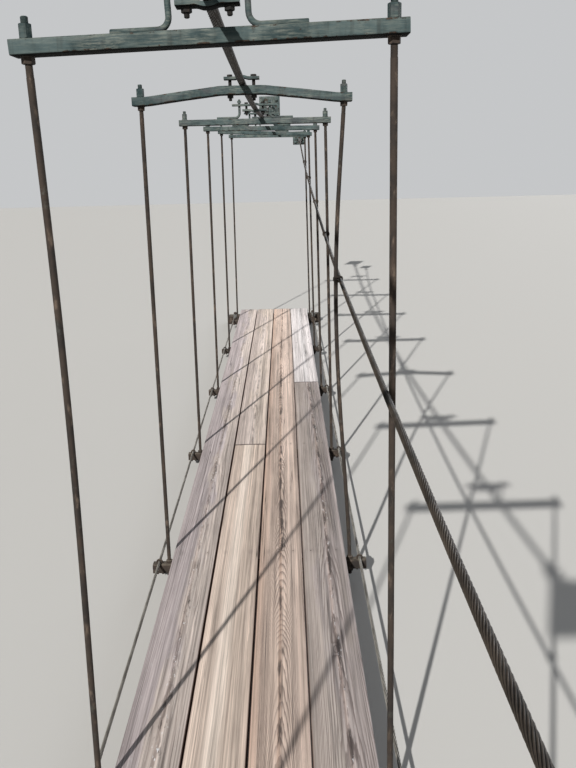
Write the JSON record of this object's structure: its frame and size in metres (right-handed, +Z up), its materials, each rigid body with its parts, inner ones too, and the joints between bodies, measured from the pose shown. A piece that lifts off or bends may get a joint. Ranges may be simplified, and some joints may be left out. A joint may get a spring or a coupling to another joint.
{
  "type": "rope suspension footbridge",
  "caption": "Narrow wire-rope footbridge: an overhead cable carries green steel yokes, rod hangers and a plank deck, with a hand cable on the right.",
  "frame": {"origin": "middle of the back face of the near main anchor plate, the face bolted to the rock", "axes": "+X to the walker's right across the deck, +Y along the bridge away from the near anchor, +Z up"},
  "size_m": [1, 10.56, 2.4571],
  "materials": {
    "green_painted_steel": "worn blue-green paint over steel, dull",
    "rusty_steel": "brown rusted steel with thin remains of paint",
    "wire_rope": "dull grey stranded wire, darkened by grease",
    "weathered_wood": "bare softwood weathered grey, open grain"
  },
  "bodies": {
    "root": {"deck_plank_1_near": "weathered_wood", "deck_plank_1_far": "weathered_wood", "deck_plank_2_near": "weathered_wood", "deck_plank_2_far": "weathered_wood", "deck_plank_3_near": "weathered_wood", "deck_plank_3_far": "weathered_wood", "deck_plank_4_near": "weathered_wood", "deck_plank_4_far": "weathered_wood", "cross_bearer_0": "rusty_steel", "yoke_0": "green_painted_steel", "cable_clamp_0": "green_painted_steel", "hanger_left_0": "rusty_steel", "hanger_right_0": "rusty_steel", "cross_bearer_1": "rusty_steel", "yoke_1": "green_painted_steel", "cable_clamp_1": "green_painted_steel", "hanger_left_1": "rusty_steel", "hanger_right_1": "rusty_steel", "cross_bearer_2": "rusty_steel", "yoke_2": "green_painted_steel", "cable_clamp_2": "green_painted_steel", "hanger_left_2": "rusty_steel", "hanger_right_2": "rusty_steel", "cross_bearer_3": "rusty_steel", "yoke_3": "green_painted_steel", "cable_clamp_3": "green_painted_steel", "hanger_left_3": "rusty_steel", "hanger_right_3": "rusty_steel", "cross_bearer_4": "rusty_steel", "yoke_4": "green_painted_steel", "cable_clamp_4": "green_painted_steel", "hanger_left_4": "rusty_steel", "hanger_right_4": "rusty_steel", "cross_bearer_5": "rusty_steel", "yoke_5": "green_painted_steel", "cable_clamp_5": "green_painted_steel", "hanger_left_5": "rusty_steel", "hanger_right_5": "rusty_steel", "cross_bearer_6": "rusty_steel", "yoke_6": "green_painted_steel", "cable_clamp_6": "green_painted_steel", "hanger_left_6": "rusty_steel", "hanger_right_6": "rusty_steel", "main_cable": "wire_rope", "hand_cable": "wire_rope", "side_cable_left": "wire_rope", "side_cable_right": "wire_rope", "end_beam_near": "rusty_steel", "end_beam_far": "rusty_steel", "main_anchor_near": "green_painted_steel", "main_anchor_far": "green_painted_steel", "hand_anchor_near": "green_painted_steel", "hand_anchor_far": "green_painted_steel"}
  },
  "joints": []
}
